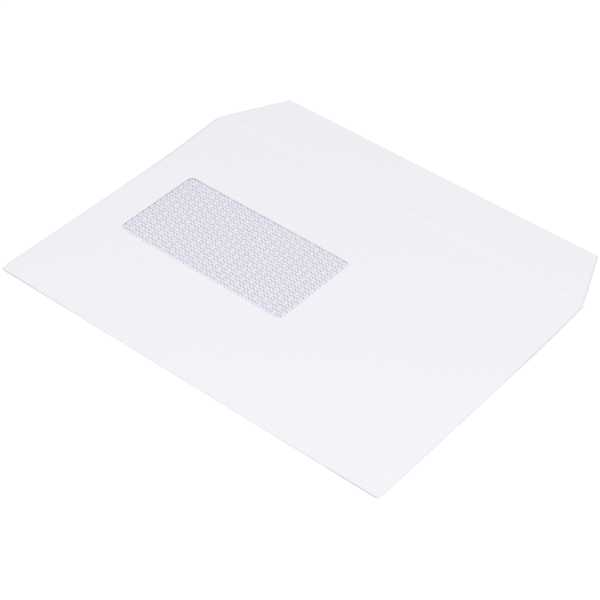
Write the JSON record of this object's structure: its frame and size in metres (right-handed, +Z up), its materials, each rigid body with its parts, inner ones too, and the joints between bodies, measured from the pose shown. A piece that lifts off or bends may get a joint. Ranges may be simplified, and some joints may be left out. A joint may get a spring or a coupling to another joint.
{
  "type": "window envelope",
  "caption": "Flat paper envelope with a clear address window, lying face up with its tapered closing flap open beyond the crease.",
  "frame": {"origin": "middle of the lying envelope's outline, at table height", "axes": "+X along the long side, towards the end without the window; +Y from the bottom fold towards the closing flap's free edge; +Z up, out of the address side"},
  "size_m": [0.229, 0.2004, 0.0035],
  "materials": {
    "paper": "smooth, matte, white",
    "film": "clear, glossy",
    "glue": "dried adhesive",
    "gum": "dried gum, slightly glossy"
  },
  "bodies": {
    "root": {"folded_sheet": "paper", "window_film": "film", "film_glue": "glue", "left_seam_glue": "glue", "right_seam_glue": "glue", "flap_gum": "gum"}
  },
  "joints": []
}
